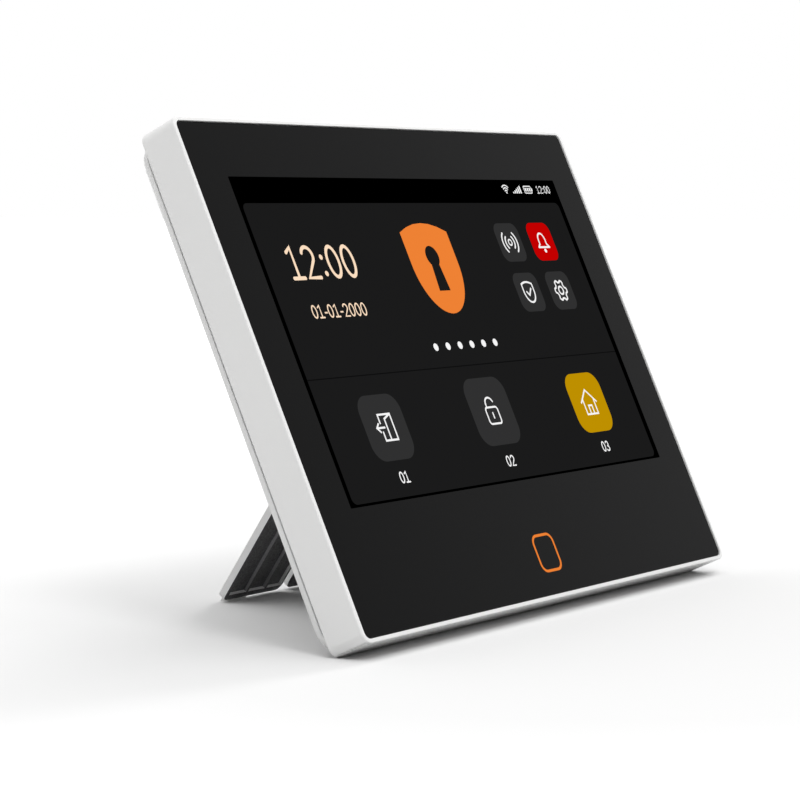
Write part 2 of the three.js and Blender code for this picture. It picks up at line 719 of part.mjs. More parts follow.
// Rear cover
function rearCover() {
  const skirt = loft(coverWidth, coverHeight, coverCorner,
    [[frameDepth - coverSink, grooveDepth], [coverFront + overrun, grooveDepth]])
  const dome = loft(coverWidth, coverHeight, coverCorner, roundedBack(coverFront, coverRound))
  const roomInset = grooveDepth + skirtWall
  const domeRoom = loft(coverWidth, coverHeight, coverCorner, [
    [frameDepth - coverSink - overrun, roomInset],
    ...roundedBack(coverInner - coverInnerRound, coverInnerRound, roomInset)
  ])
  const platformHeight = platformTop - platformBottom
  const platformMiddle = (platformTop + platformBottom) / 2
  const platform = loft(platformWidth, platformHeight, platformCorner,
    [[coverInner, 0], ...roundedBack(platformDepth - platformRound, platformRound)], 0, platformMiddle)

  const upperRoom = loft(2 * upperRoomSide, upperRoomTop - upperRoomBottom, platformCorner - wall,
    [[coverInner - overrun, 0], [batteryRoomBack, 0]], 0, (upperRoomTop + upperRoomBottom) / 2)
  const lowerRoom = box([-platformSide + 2 * wall, platformSide - 2 * wall],
    [coverInner - overrun, recessFloor - recessFloorWall],
    [platformBottom + 2 * wall, hingeHeight - barrelRadius - 2 * wall])
  const columns = mirrored(coverScrewX, coverScrewZ)
    .map(([x, z]) => post(coverColumnRadius, [frameDepth + seatGap, coverInner + wall / 2], x, z))
  const portColumns = portPosts
    .map(([x, z]) => post(portPostRadius, [portBoardBack + seatGap, batteryRoomBack + wall / 2], x, z))
  const ringFront = speakerBack - speakerRingDepth
  const ring = post(speakerRadius + seatGap + speakerRingWall, [ringFront, coverInner + wall / 2],
    speakerX, speakerZ, latheSteps)
  const ringRoom = post(speakerRadius + seatGap, [ringFront - overrun, coverInner],
    speakerX, speakerZ, latheSteps)
  const hollow = cut(join([skirt, dome, platform]), [domeRoom, upperRoom, lowerRoom])
  const moulded = join([hollow, ring, ...columns, ...portColumns])

  const counterbores = mirrored(coverScrewX, coverScrewZ).flatMap(([x, z]) => [
    post(coverHeadRadius + coverHeadGap, [coverSeatDepth, platformDepth], x, z),
    post(coverShankRadius + screwGap, [0, coverSeatDepth + overrun], x, z)
  ])
  const grille = Array.from({ length: grilleSlots }, (_, k) => {
    const z = (k - (grilleSlots - 1) / 2) * grillePitch
    const reach = Math.sqrt(grilleRadius ** 2 - z ** 2) - grilleSlotHeight / 2
    const outline = new THREE.Shape()
    outline.absarc(speakerX + reach, speakerZ + z, grilleSlotHeight / 2, -Math.PI / 2, Math.PI / 2, false)
    outline.absarc(speakerX - reach, speakerZ + z, grilleSlotHeight / 2, Math.PI / 2, 1.5 * Math.PI, false)
    return prism(outline, [coverInner - overrun, coverBack + overrun])
  })
  const socketHole = prismAlongX(
    slotOutline(socketWidth + 2 * seatGap, socketHeight + 2 * seatGap, socketDepth, socketZ),
    [upperRoomSide - overrun, platformSide + overrun])
  const knobHole = box([upperRoomSide - overrun, platformSide + overrun],
    around(switchDepth, knobHeight + 2 * runGap), around(switchZ, knobLength + knobTravel + 2 * runGap))
  const plungerHole = post(tamperRadius + runGap, [batteryRoomBack - overrun, platformDepth + overrun],
    tamperX, tamperZ, latheSteps)

  const recessSide = standWidth / 2 + recessGap
  const plateRoom = box([-recessSide, recessSide], [standInner - runGap, standOuter + runGap],
    [-standLength - overrun, 0])
  const openRoom = plateRoom.rotate([standOpenAngle, 0, 0])
  const barrelRoom = bar(barrelRadius + runGap, [-recessSide, recessSide], 0, 0)
  const hingeRoom = join([plateRoom, openRoom, barrelRoom]).translate([0, pivotDepth, hingeHeight])
  const lugs = lugPlaces.map(x => {
    const eye = bar(barrelRadius, around(x, lugWidth), pivotDepth, hingeHeight)
    const web = box(around(x, lugWidth), [recessFloor - recessFloorWall, pivotDepth],
      around(hingeHeight, 2 * barrelRadius))
    return eye.add(web)
  })
  const pinHole = bar(pinRadius + pinGap, [-recessSide - pinGrip, platformSide + overrun],
    pivotDepth, hingeHeight)
  const sideHoles = [socketHole, knobHole]
  const opened = cut(moulded, [ringRoom, ...counterbores, ...grille, ...sideHoles, plungerHole, hingeRoom])
  return join([opened, ...lugs]).subtract(pinHole)
}

function hingePin() {
  const reach = standWidth / 2 + recessGap + pinGrip - seatGap
  return bar(pinRadius, [-reach, reach], pivotDepth, hingeHeight)
}

place('front_frame', frontFrame(), whitePlastic)
place('cover_glass', coverGlass(), blackGlass)
place('glass_gasket', glassGasket(), blackFoam)
place('touch_sensor', touchSensor(), darkFilm)
place('display_cell', displayCell(), displayGlass)
place('backlight_tray', backlightTray(), steel)
place('key_light_guide', keyLightGuide(), clearPlastic)
place('key_board', keyBoard(), circuitGreen)
place('main_board', mainBoard(), circuitGreen)
place('processor_shield',
  shieldCan(processorWidth, processorHeight, boardX + processorShift, boardZ + processorRise), steel)
place('radio_shield',
  shieldCan(radioWidth, radioHeight, boardRight - radioInset, boardZ + radioRise), steel)
boardHoles.forEach(([x, z], k) => {
  const seat = boardBack + seatGap
  const solid = screw(boardHeadRadius, boardHeadHeight, boardShankRadius, boardShankLength, seat, x, z)
  place(`board_screw_${k + 1}`, solid, steel)
})
place('battery_pack', batteryPack(), batteryWrap)
place('speaker', speaker(), blackPlastic)
place('wifi_antenna', aerial(wifiWidth, wifiHeight, wifiX, wifiZ), copperFlex)
place('mobile_antenna', aerial(mobileWidth, mobileHeight, mobileX, mobileZ), copperFlex)
place('port_board', portBoard(), circuitGreen)
place('power_socket', powerSocket(), steel)
place('switch_body', switchBody(), blackPlastic)
place('switch_knob', switchKnob(), blackPlastic)
place('tamper_switch', tamperSwitch(), blackPlastic)
place('tamper_plunger', tamperPlunger(), whitePlastic)
place('rear_cover', rearCover(), whitePlastic)
place('hinge_pin', hingePin(), steel)
mirrored(coverScrewX, coverScrewZ).forEach(([x, z], k) => {
  const seat = coverSeatDepth + seatGap
  const solid = screw(coverHeadRadius, coverHeadHeight, coverShankRadius, coverShankLength, seat, x, z)
  place(`cover_screw_${k + 1}`, solid, steel)
})
place('kickstand', kickstand(), whitePlastic, stand)
place('stand_pad_left', standPad(-1), greyRubber, stand)
place('stand_pad_right', standPad(1), greyRubber, stand)

// Open the stand, lean the panel back and set it down
stand.position.set(0, pivotDepth, hingeHeight)
stand.rotation.x = openAngle
panel.rotation.x = -lean
const object = new THREE.Group()
object.add(panel)
object.updateMatrixWorld(true)
const bounds = new THREE.Box3().setFromObject(object, true)
const middle = bounds.getCenter(new THREE.Vector3())
object.position.set(-middle.x, -middle.y, -bounds.min.z)

export default object
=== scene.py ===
"""A table-top alarm panel: looks, screen layout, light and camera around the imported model.

Metres, +Z up. Places on the glass are written in millimetres, from the middle of the glass:
x runs to the right, z up the glass, and a layer's height stands off the glass.
"""
import json
import math

import bpy
from mathutils import Matrix, Vector
from mathutils.geometry import tessellate_polygon


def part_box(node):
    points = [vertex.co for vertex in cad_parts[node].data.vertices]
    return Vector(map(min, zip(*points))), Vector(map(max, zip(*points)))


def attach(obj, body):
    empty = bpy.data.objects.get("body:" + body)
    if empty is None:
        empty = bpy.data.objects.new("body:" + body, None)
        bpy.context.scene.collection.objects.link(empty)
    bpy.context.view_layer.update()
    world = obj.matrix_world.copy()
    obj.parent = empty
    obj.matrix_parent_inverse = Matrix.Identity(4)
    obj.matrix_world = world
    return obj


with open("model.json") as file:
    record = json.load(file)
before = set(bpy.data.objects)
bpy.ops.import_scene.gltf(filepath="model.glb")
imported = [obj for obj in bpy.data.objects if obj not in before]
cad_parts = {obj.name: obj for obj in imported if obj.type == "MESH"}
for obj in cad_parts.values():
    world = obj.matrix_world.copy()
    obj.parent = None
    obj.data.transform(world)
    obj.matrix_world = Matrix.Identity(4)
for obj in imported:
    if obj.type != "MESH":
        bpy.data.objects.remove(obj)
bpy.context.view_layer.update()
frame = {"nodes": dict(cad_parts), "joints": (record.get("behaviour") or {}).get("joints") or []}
nodes = frame["nodes"]
joints = {joint["name"]: joint for joint in frame["joints"]}

MM = 0.001
WELD_DISTANCE = 0.000002
SHARP_ANGLE = 32
FLAT_WEIGHT = 50

# Camera, as the photograph was taken: place in metres, angles in degrees, lens and sensor in
# millimetres, and the rise of the picture as a share of its width
CAMERA_PLACE = (-0.59734, -0.38876, 0.10582)
CAMERA_AZIMUTH = -56.451
CAMERA_ELEVATION = 6.336
CAMERA_LENS = 121.18
CAMERA_RISE = 0.125
SENSOR_WIDTH = 36

# Light and floor, in metres. A lamp has a place, a size and a power in watts.
ZENITH_LIGHT = 1.95
SKY_FALLOFF = 1.6
LAMPS = {
    "right_softbox": ((1.0, 0.05, 0.75), 0.3, 4.1),
    "front_left_softbox": ((-0.45, -0.60, 1.0), 0.3, 3.4),
}
LAMP_TARGET = (0, 0, 0.05)
FLOOR_REACH = 12.0
FLOOR_COLOUR = 0.70
FLOOR_ROUGHNESS = 0.9
GLOW_CENTRE = (-0.02, -0.06, 0)
GLOW_START = 0.12
GLOW_FULL = 1.15
GLOW_STRENGTH = 1.0

# Colours, as shares of full light
WHITE_PLASTIC = (0.80, 0.80, 0.795)
WHITE_PLASTIC_DIM = (0.775, 0.775, 0.77)
# Underside colours: painted shade on the frame's down-facing faces, with a coarse grain
UNDERSIDE_PAINTED_SHADE = (0.74, 0.74, 0.735)
UNDERSIDE_PAINTED_SHADE_DIM = (0.42, 0.42, 0.415)
# Stand inner and rib colours: painted shade on faces that look in under the panel
STAND_INNER_PAINTED_SHADE = (0.13, 0.13, 0.132)
STAND_INNER_PAINTED_SHADE_DIM = (0.03, 0.03, 0.031)
STAND_RIB_PAINTED_SHADE = (0.30, 0.30, 0.305)
BLACK_GLASS = (0.003, 0.003, 0.0031)
SCREEN_BLACK = (0.0, 0.0, 0.0)
PANEL_GREY = (0.0110, 0.0110, 0.0112)
PANEL_LINE = (0.0045, 0.0045, 0.0047)
TILE_GREY = (0.0300, 0.0300, 0.0305)
TILE_RED = (0.55, 0.0, 0.0)
TILE_GOLD = (0.52, 0.28, 0.0)
MARK_ORANGE = (0.87, 0.225, 0.035)
MARK_CREAM = (1.0, 0.76, 0.55)
MARK_WHITE = (0.95, 0.95, 0.95)

# Finish: noise scales per metre, bump depths in metres, the rest as shares
TONE_SCALE = 9
TONE_BAND = (0.3, 0.7)
COARSE_GRAIN = 1900
FINE_GRAIN = 2600
GRAIN_DETAIL = 3
PLAIN_DETAIL = 2
ROUGHNESS_SPREAD = 0.05
WHITE_ROUGHNESS = 0.42
WHITE_GRAIN_DEPTH = 0.000025
STAND_ROUGHNESS = 0.47
STAND_GRAIN_DEPTH = 0.00002
# Share for the speckle in the rib walls' painted shade
RIB_PAINTED_SHADE_DIM_SHARE = 0.8
METAL_TONE_SCALE = 60
METAL_GRAIN = 900
METAL_DIM_SHARE = 0.82
METAL_ROUGHNESS_SPREAD = 0.06
METAL_GRAIN_DEPTH = 0.00001
METAL_BUMP_SHARE = 0.5
GLASS_TONE_SCALE = 6
GLASS_LIGHT_SHARE = 1.15
GLASS_WEAR_SCALE = 25
GLASS_ROUGHNESS = (0.08, 0.13)
GLASS_REFLECTION = 0.04
LIT_TONE_SCALE = 20
LIT_DIM_SHARE = 0.97
LIT_ROUGHNESS = 0.2

# Mouldings, films and boards: two tones, roughness, grain scale and grain depth
MOULDINGS = {
    "white_plastic": (WHITE_PLASTIC, WHITE_PLASTIC_DIM, WHITE_ROUGHNESS, FINE_GRAIN, WHITE_GRAIN_DEPTH),
    "black_plastic": ((0.03, 0.03, 0.032), (0.022, 0.022, 0.024), 0.45, 2600, 0.00002),
    "battery_wrap": ((0.05, 0.055, 0.06), (0.04, 0.045, 0.05), 0.35, 400, 0.00003),
    "soft_pad": ((0.74, 0.74, 0.73), (0.68, 0.68, 0.67), 0.7, 1800, 0.00002),
    "black_foam": ((0.02, 0.02, 0.02), (0.01, 0.01, 0.01), 0.9, 1500, 0.00008),
    "circuit_board": ((0.02, 0.13, 0.06), (0.015, 0.10, 0.05), 0.4, 700, 0.00002),
    "key_light": ((0.85, 0.45, 0.2), (0.8, 0.4, 0.18), 0.3, 700, 0.00001),
    "dark_film": ((0.03, 0.033, 0.04), (0.025, 0.028, 0.033), 0.2, 700, 0.00001),
}

# Metals: colour and roughness
METALS = {
    "steel": ((0.56, 0.57, 0.59), 0.32),
    "copper_flex": ((0.62, 0.38, 0.17), 0.4),
}

# Layers of the lit picture: the step between two and the thickness of each, in millimetres
LAYER_STEP = 0.02
LAYER_PLATE = 0.012
WINDOW_LAYER = 1
KEY_LAYER = 1
PICTURE_LAYER = 2
TILE_LAYER = 3
MARK_LAYER = 4

# Outlines: steps of an arc and of a stroke's round end, and how far a mitred corner may reach
ARC_STEPS = 10
END_STEPS = 8
MITRE_LIMIT = 0.7

# How far a face may turn and still count as facing a way, as the cosine of the turn
FACING_START = 0.75
FACING_FULL = 0.85

# Where the stand's ribs and rims stand, in millimetres to either side of the middle; their side walls get
# painted shade
RIB_ZONE = (12.0, 33.5)

# Screen layout, in millimetres on the glass. Tiles, window, picture and shield give their middle,
# width and height. Clocks and date give their lower left corner and height.
WINDOW = (0.0, 8.4, 154.2, 85.9)
WINDOW_CORNER = 0.3
PICTURE = (-0.4, 5.2, 150.6, 78.2)
PICTURE_CORNER = 1.8
DIVIDER_HEIGHT = -1.9
DIVIDER_WIDTH = 0.3
DIVIDER_CORNER = 0.05
CLOCK_TEXT = "12:00"
CLOCK = (-66.2, 24.3, 8.2)
CLOCK_STROKE = 1.0
DATE_TEXT = "01-01-2000"
DATE = (-63.6, 13.8, 3.2)
DATE_STROKE = 0.42
STATUS_CLOCK = (65.8, 47.3, 2.1)
STATUS_STROKE = 0.25
SMALL_TILE = 12.5
SMALL_TILE_HEIGHT = 11.5
SMALL_TILE_CORNER = 2.9
SMALL_COLUMNS = (40.7, 58.05)
SMALL_ROWS = (32.4, 17.5)
LARGE_TILE_CORNER = 4.6
LARGE_TILES = (
    (-50.7, -15.8, 18.2, 17.3),
    (-0.6, -15.0, 19.9, 18.8),
    (49.8, -15.9, 18.4, 17.4),
)
LABEL_HEIGHT = -30.3
LABEL_SIZE = 2.7
LABEL_STROKE = 0.40
ICON_STROKE = 0.55
LARGE_ICON_STROKE = 0.52
SHIELD = (-1.0, 25.6, 22.4, 25.8)
KEYHOLE_RADIUS = 3.0
KEYHOLE_RISE = 3.4
KEYHOLE_FOOT = (2.6, 6.4)
KEYHOLE_SWEEP = (-52, 232)
KEYHOLE_STEPS = 24
DOT_ROW_MIDDLE = -1.0
DOT_ROW_HEIGHT = 3.8
DOT_ROW_PITCH = 5.8
DOT_ROW_COUNT = 6
DOT_RADIUS = 1.05
KEY_MARK = (0.0, -54.6, 9.7)
KEY_MARK_CORNER = 2.3
KEY_MARK_STROKE = 0.72

# Status marks beside the small clock, in millimetres on the glass
RADIO_MARK = (49.1, 47.3)
RADIO_RADII = (2.35, 1.6, 0.85)
RADIO_SWEEP = (132, 48)
RADIO_STEPS = 8
RADIO_STROKE = 0.36
RADIO_DOT = (49.1, 47.4, 0.3)
SIGNAL_START = (52.9, 47.2)
SIGNAL_BARS = 5
SIGNAL_PITCH = 1.0
SIGNAL_HEIGHT = 2.3
SIGNAL_BAR_WIDTH = 0.62
BATTERY_OUTLINE = (61.0, 48.35, 3.9, 2.1, 0.4)
BATTERY_STROKE = 0.3
BATTERY_BARS = 3
BATTERY_BAR_START = (59.9, 48.35)
BATTERY_BAR_PITCH = 1.1
BATTERY_BAR_SIZE = (0.7, 1.1)
BATTERY_TIP = (63.35, 48.35, 0.35, 0.9, 0.1)
BAR_CORNER = 0.08


# The panel's own axes, read from the glass and the two slides
back = -Vector(joints["tamper_press"]["axis"])
up = Vector(joints["power_slide"]["axis"])
right = Vector((1, 0, 0))
glass_points = [v.co for v in nodes["cover_glass"].data.vertices]
front_depth = min(p.dot(back) for p in glass_points)
glass_low = min(p.dot(up) for p in glass_points)
glass_high = max(p.dot(up) for p in glass_points)
glass_middle = back * front_depth + up * (glass_low + glass_high) / 2
panel_axes = Matrix((
    (right.x, back.x, up.x, glass_middle.x),
    (right.y, back.y, up.y, glass_middle.y),
    (right.z, back.z, up.z, glass_middle.z),
    (0, 0, 0, 1),
))


# Materials
def new_material(name):
    material = bpy.data.materials.new(name)
    material.use_nodes = True
    tree = material.node_tree
    return material, tree, tree.nodes["Principled BSDF"]


def noise(tree, scale, detail=PLAIN_DETAIL):
    place = tree.nodes.new("ShaderNodeTexCoord")
    texture = tree.nodes.new("ShaderNodeTexNoise")
    texture.inputs["Scale"].default_value = scale
    texture.inputs["Detail"].default_value = detail
    tree.links.new(place.outputs["Object"], texture.inputs["Vector"])
    return texture.outputs["Fac"]


def spread(tree, value, low, high, start=0, full=1):
    """Spreads a value between start and full over the range from low to high."""
    node = tree.nodes.new("ShaderNodeMapRange")
    node.inputs["From Min"].default_value = start
    node.inputs["From Max"].default_value = full
    node.inputs["To Min"].default_value = low
    node.inputs["To Max"].default_value = high
    tree.links.new(value, node.inputs["Value"])
    return node.outputs["Result"]


def combine(tree, operation, *values, clamp=False):
    """A sum, product or the like of sockets and plain numbers."""
    node = tree.nodes.new("ShaderNodeMath")
    node.operation = operation
    node.use_clamp = clamp
    for socket, value in zip(node.inputs, values):
        if isinstance(value, (int, float)):
            socket.default_value = value
        else:
            tree.links.new(value, socket)
    return node.outputs[0]


def blend_colour(tree, value, first, second):
    ramp = tree.nodes.new("ShaderNodeValToRGB")
    for stop, colour, place in zip(ramp.color_ramp.elements, (first, second), TONE_BAND):
        stop.color = (*colour, 1)
        stop.position = place
    tree.links.new(value, ramp.inputs["Fac"])
    return ramp.outputs["Color"]


def overlay(tree, base, top, share):
    """Lays one colour over another where the share is 1."""
    mix = tree.nodes.new("ShaderNodeMix")
    mix.data_type = "RGBA"
    tree.links.new(share, mix.inputs["Factor"])
    tree.links.new(base, mix.inputs["A"])
    tree.links.new(top, mix.inputs["B"])
    return mix.outputs["Result"]


def bump(tree, shader, value, depth, strength=1.0):
    node = tree.nodes.new("ShaderNodeBump")
    node.inputs["Strength"].default_value = strength
    node.inputs["Distance"].default_value = depth
    tree.links.new(value, node.inputs["Height"])
    tree.links.new(node.outputs["Normal"], shader.inputs["Normal"])


def satin(tree, shader, roughness, grain, depth):
    """A satin gloss with a fine grain."""
    fine = noise(tree, grain, GRAIN_DETAIL)
    gloss = spread(tree, fine, roughness - ROUGHNESS_SPREAD, roughness + ROUGHNESS_SPREAD)
    tree.links.new(gloss, shader.inputs["Roughness"])
    bump(tree, shader, fine, depth)


def moulded_plastic(name, first, second, roughness, grain, depth):
    """Satin moulding with a slight change of tone."""
    material, tree, shader = new_material(name)
    tone = blend_colour(tree, noise(tree, TONE_SCALE), first, second)
    tree.links.new(tone, shader.inputs["Base Color"])
    satin(tree, shader, roughness, grain, depth)
    return material


def facing(tree, direction):
    """1 on faces that look along a direction, and 0 on the others."""
    place = tree.nodes.new("ShaderNodeTexCoord")
    dot = tree.nodes.new("ShaderNodeVectorMath")
    dot.operation = "DOT_PRODUCT"
    dot.inputs[1].default_value = direction
    tree.links.new(place.outputs["Normal"], dot.inputs[0])
    return spread(tree, dot.outputs["Value"], 0, 1, FACING_START, FACING_FULL)


def rib_shade_zone(tree):
    """1 where the stand's ribs and rims are, by the distance from the middle; the rib walls there get
    painted shade.
    """
    place = tree.nodes.new("ShaderNodeTexCoord")
    parts = tree.nodes.new("ShaderNodeSeparateXYZ")
    tree.links.new(place.outputs["Object"], parts.inputs[0])
    reach = combine(tree, "ABSOLUTE", parts.outputs["X"])
    inner, outer = RIB_ZONE
    return combine(tree, "COMPARE", reach, (inner + outer) / 2 * MM, (outer - inner) / 2 * MM)


def frame_plastic_painted_shade():
    """White moulding with painted shade: its down-facing faces are painted a darker grey with a coarser
    grain.
    """
    material, tree, shader = new_material("frame_plastic_painted_shade")
    white = blend_colour(tree, noise(tree, TONE_SCALE), WHITE_PLASTIC, WHITE_PLASTIC_DIM)
    under_painted_shade = blend_colour(tree, noise(tree, COARSE_GRAIN, GRAIN_DETAIL), UNDERSIDE_PAINTED_SHADE_DIM, UNDERSIDE_PAINTED_SHADE)
    # Painted shade on down-facing faces
    tree.links.new(overlay(tree, white, under_painted_shade, facing(tree, -up)), shader.inputs["Base Color"])
    satin(tree, shader, WHITE_ROUGHNESS, FINE_GRAIN, WHITE_GRAIN_DEPTH)
    return material


def middle_of(name):
    """The middle of a node's box."""
    low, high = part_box(name)
    return (Vector(low) + Vector(high)) / 2


def stand_plastic_painted_shade():
    """White moulding with painted shade: the ribbed inner face, which looks in under the panel, is
    painted dark grey with a coarser grain, and the rib walls a darker grey.
    """
    material, tree, shader = new_material("stand_plastic_painted_shade")
    white = blend_colour(tree, noise(tree, TONE_SCALE), WHITE_PLASTIC, WHITE_PLASTIC_DIM)
    speckle = noise(tree, COARSE_GRAIN, GRAIN_DETAIL)
    inner_painted_shade = blend_colour(tree, speckle, STAND_INNER_PAINTED_SHADE_DIM, STAND_INNER_PAINTED_SHADE)
    rib_painted_shade = blend_colour(tree, speckle, tuple(c * RIB_PAINTED_SHADE_DIM_SHARE for c in STAND_RIB_PAINTED_SHADE), STAND_RIB_PAINTED_SHADE)
    foot = (middle_of("stand_pad_left") + middle_of("stand_pad_right")) / 2
    inner = right.cross(foot - middle_of("hinge_pin")).normalized()
    if inner.y > 0:
        inner.negate()
    sides = combine(tree, "MAXIMUM", facing(tree, right), facing(tree, -right))
    rib_walls = combine(tree, "MULTIPLY", sides, rib_shade_zone(tree))
    # Painted shade on the rib walls
    with_rib_shade = overlay(tree, white, rib_painted_shade, rib_walls)
    # Painted shade on the inner face, which looks in under the panel
    tree.links.new(overlay(tree, with_rib_shade, inner_painted_shade, facing(tree, inner)), shader.inputs["Base Color"])
    satin(tree, shader, STAND_ROUGHNESS, FINE_GRAIN, STAND_GRAIN_DEPTH)
    return material


def metal(name, colour, roughness):
    material, tree, shader = new_material(name)
    darker = tuple(c * METAL_DIM_SHARE for c in colour)
    tone = blend_colour(tree, noise(tree, METAL_TONE_SCALE), darker, colour)
    tree.links.new(tone, shader.inputs["Base Color"])
    fine = noise(tree, METAL_GRAIN)
    gloss = spread(tree, fine, roughness - METAL_ROUGHNESS_SPREAD, roughness + METAL_ROUGHNESS_SPREAD)
    tree.links.new(gloss, shader.inputs["Roughness"])
    shader.inputs["Metallic"].default_value = 1
    bump(tree, shader, fine, METAL_GRAIN_DEPTH, METAL_BUMP_SHARE)
    return material


def coated_glass():
    """Black-printed front glass with a low-reflection coating."""
    material, tree, shader = new_material("front_glass")
    lighter = tuple(c * GLASS_LIGHT_SHARE for c in BLACK_GLASS)
    tone = blend_colour(tree, noise(tree, GLASS_TONE_SCALE), BLACK_GLASS, lighter)
    tree.links.new(tone, shader.inputs["Base Color"])
    gloss = spread(tree, noise(tree, GLASS_WEAR_SCALE), *GLASS_ROUGHNESS)
    tree.links.new(gloss, shader.inputs["Roughness"])
    shader.inputs["Specular IOR Level"].default_value = GLASS_REFLECTION
    return material


def lit(name, colour):
    """A lit area of the display: its light varies a little over the backlight."""
    material, tree, shader = new_material(name)
    shader.inputs["Base Color"].default_value = (0, 0, 0, 1)
    shader.inputs["Roughness"].default_value = LIT_ROUGHNESS
    shader.inputs["Specular IOR Level"].default_value = 0
    dimmer = tuple(c * LIT_DIM_SHARE for c in colour)
    light = blend_colour(tree, noise(tree, LIT_TONE_SCALE), dimmer, colour)
    tree.links.new(light, shader.inputs["Emission Color"])
    shader.inputs["Emission Strength"].default_value = 1
    return material


slot_materials = {name: moulded_plastic(name, *finish) for name, finish in MOULDINGS.items()}
slot_materials.update({name: metal(name, *finish) for name, finish in METALS.items()})
slot_materials["front_glass"] = coated_glass()
slot_materials["display"] = lit("screen_black", SCREEN_BLACK)
frame_painted_shade_finish = frame_plastic_painted_shade()
stand_painted_shade_finish = stand_plastic_painted_shade()


def smooth_rounds(node):
    """Shades round stretches as one surface, and keeps flat faces flat and real edges sharp."""
    for face in node.data.polygons:
        face.use_smooth = True
    weld = node.modifiers.new("weld", "WELD")
    weld.merge_threshold = WELD_DISTANCE
    split = node.modifiers.new("edges", "EDGE_SPLIT")
    split.split_angle = math.radians(SHARP_ANGLE)
    weighted = node.modifiers.new("flats", "WEIGHTED_NORMAL")
    weighted.mode = "FACE_AREA"
    weighted.weight = FLAT_WEIGHT


def dress_frame():
    """Gives each node of the frame its finish."""
    for node in nodes.values():
        for part in node.material_slots:
            part.material = slot_materials[part.material.name.split(".")[0]]
        smooth_rounds(node)
    # The frame's material paints shade on its underside
    nodes["front_frame"].material_slots[0].material = frame_painted_shade_finish
    # The stand's material paints shade on its inner face and rib walls
    nodes["kickstand"].material_slots[0].material = stand_painted_shade_finish


# Flat outlines on the glass, as lists of (x, z)
def arc(x, z, radius_x, radius_z, start, end, steps=ARC_STEPS):
    """Points on an ellipse's arc between two angles in degrees."""
    angles = [math.radians(start + (end - start) * k / steps) for k in range(steps + 1)]
    return [(x + radius_x * math.cos(a), z + radius_z * math.sin(a)) for a in angles]


def rounded(x, z, width, height, corner):
    """A rounded rectangle about its middle."""
    across, along = width / 2 - corner, height / 2 - corner
    points = []
    for start, sx, sz in ((0, 1, 1), (90, -1, 1), (180, -1, -1), (270, 1, -1)):
        points += arc(x + sx * across, z + sz * along, corner, corner, start, start + 90)
    return points


def disc(x, z, radius):
    return arc(x, z, radius, radius, 0, 360, 4 * ARC_STEPS)[:-1]


def offset(points, distance, closed):
    """The line that runs beside another at a distance to its left, with mitred corners."""
    count = len(points)
    result = []
    for k, point in enumerate(points):
        here = Vector(point)
        sides = []
        if closed or k > 0:
            sides.append((here - Vector(points[k - 1])).normalized())
        if closed or k < count - 1:
            sides.append((Vector(points[(k + 1) % count]) - here).normalized())
        normals = [Vector((-s.y, s.x)) for s in sides]
        middle = sum(normals, Vector((0, 0))).normalized()
        result.append(here + middle * distance / max(middle.dot(normals[0]), MITRE_LIMIT))
    return [tuple(p) for p in result]


def signed_area(loop):
    """Twice the area inside a loop, above zero when it runs anticlockwise."""
    return sum(loop[k - 1][0] * loop[k][1] - loop[k][0] * loop[k - 1][1] for k in range(len(loop)))


class Marks:
    """Thin plates on the glass that are gathered into one mesh."""

    def __init__(self, layer):
        self.far = layer * LAYER_STEP
        self.near = self.far + LAYER_PLATE
        self.points = []
        self.faces = []

    def fill(self, *loops):
        """A plate with an outline and, after it, its holes."""
        flat = [Vector((x, z, 0)) for loop in loops for x, z in loop]
        triangles = tessellate_polygon([[Vector((x, z, 0)) for x, z in loop] for loop in loops])
        first, count = len(self.points), len(flat)
        self.points += [(p.x * MM, -self.near * MM, p.y * MM) for p in flat]
        self.points += [(p.x * MM, -self.far * MM, p.y * MM) for p in flat]
        for a, b, c in triangles:
            cross = (flat[b] - flat[a]).cross(flat[c] - flat[a]).z
            if cross < 0:
                b, c = c, b
            self.faces.append((first + a, first + b, first + c))
            self.faces.append((first + count + a, first + count + c, first + count + b))
        start = first
        for number, loop in enumerate(loops):
            size = len(loop)
            outward = (signed_area(loop) > 0) == (number == 0)
            for k in range(size):
                a, b = start + k, start + (k + 1) % size
                if outward:
                    self.faces.append((a, a + count, b + count, b))
                else:
                    self.faces.append((a, b, b + count, a + count))
            start += size

    def line(self, points, width, closed=False):
        """A stroke of even width with round ends."""
        half = width / 2
        left, other = offset(points, half, closed), offset(points, -half, closed)
        if closed:
            wider = abs(signed_area(left)) > abs(signed_area(other))
            outer, inner = (left, other) if wider else (other, left)
            self.fill(outer, inner)
            return
        ends = []
        for tip, near in ((points[-1], points[-2]), (points[0], points[1])):
            angle = math.degrees(math.atan2(tip[1] - near[1], tip[0] - near[0]))
            ends.append(arc(*tip, half, half, angle - 90, angle + 90, END_STEPS)[1:-1])
        self.fill(other + ends[0] + left[::-1] + ends[1])

    def piece(self, name, material, slot):
        """Makes the plates one piece on the housing."""
        mesh = bpy.data.meshes.new(name)
        mesh.from_pydata(self.points, [], self.faces)
        mesh.validate()
        piece = bpy.data.objects.new(name, mesh)
        bpy.context.scene.collection.objects.link(piece)
        piece.matrix_world = panel_axes
        piece.data.materials.append(material)
        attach(piece, "housing")


# Plain numerals, drawn in strokes. Shares are of the numeral's height.
NUMERAL_WIDTH_SHARE = 0.80
NARROW_WIDTH_SHARE = 0.42
DASH_WIDTH_SHARE = 0.50
COLON_SHARES = (0.12, 0.66)
COLON_DOT_SHARE = 0.72

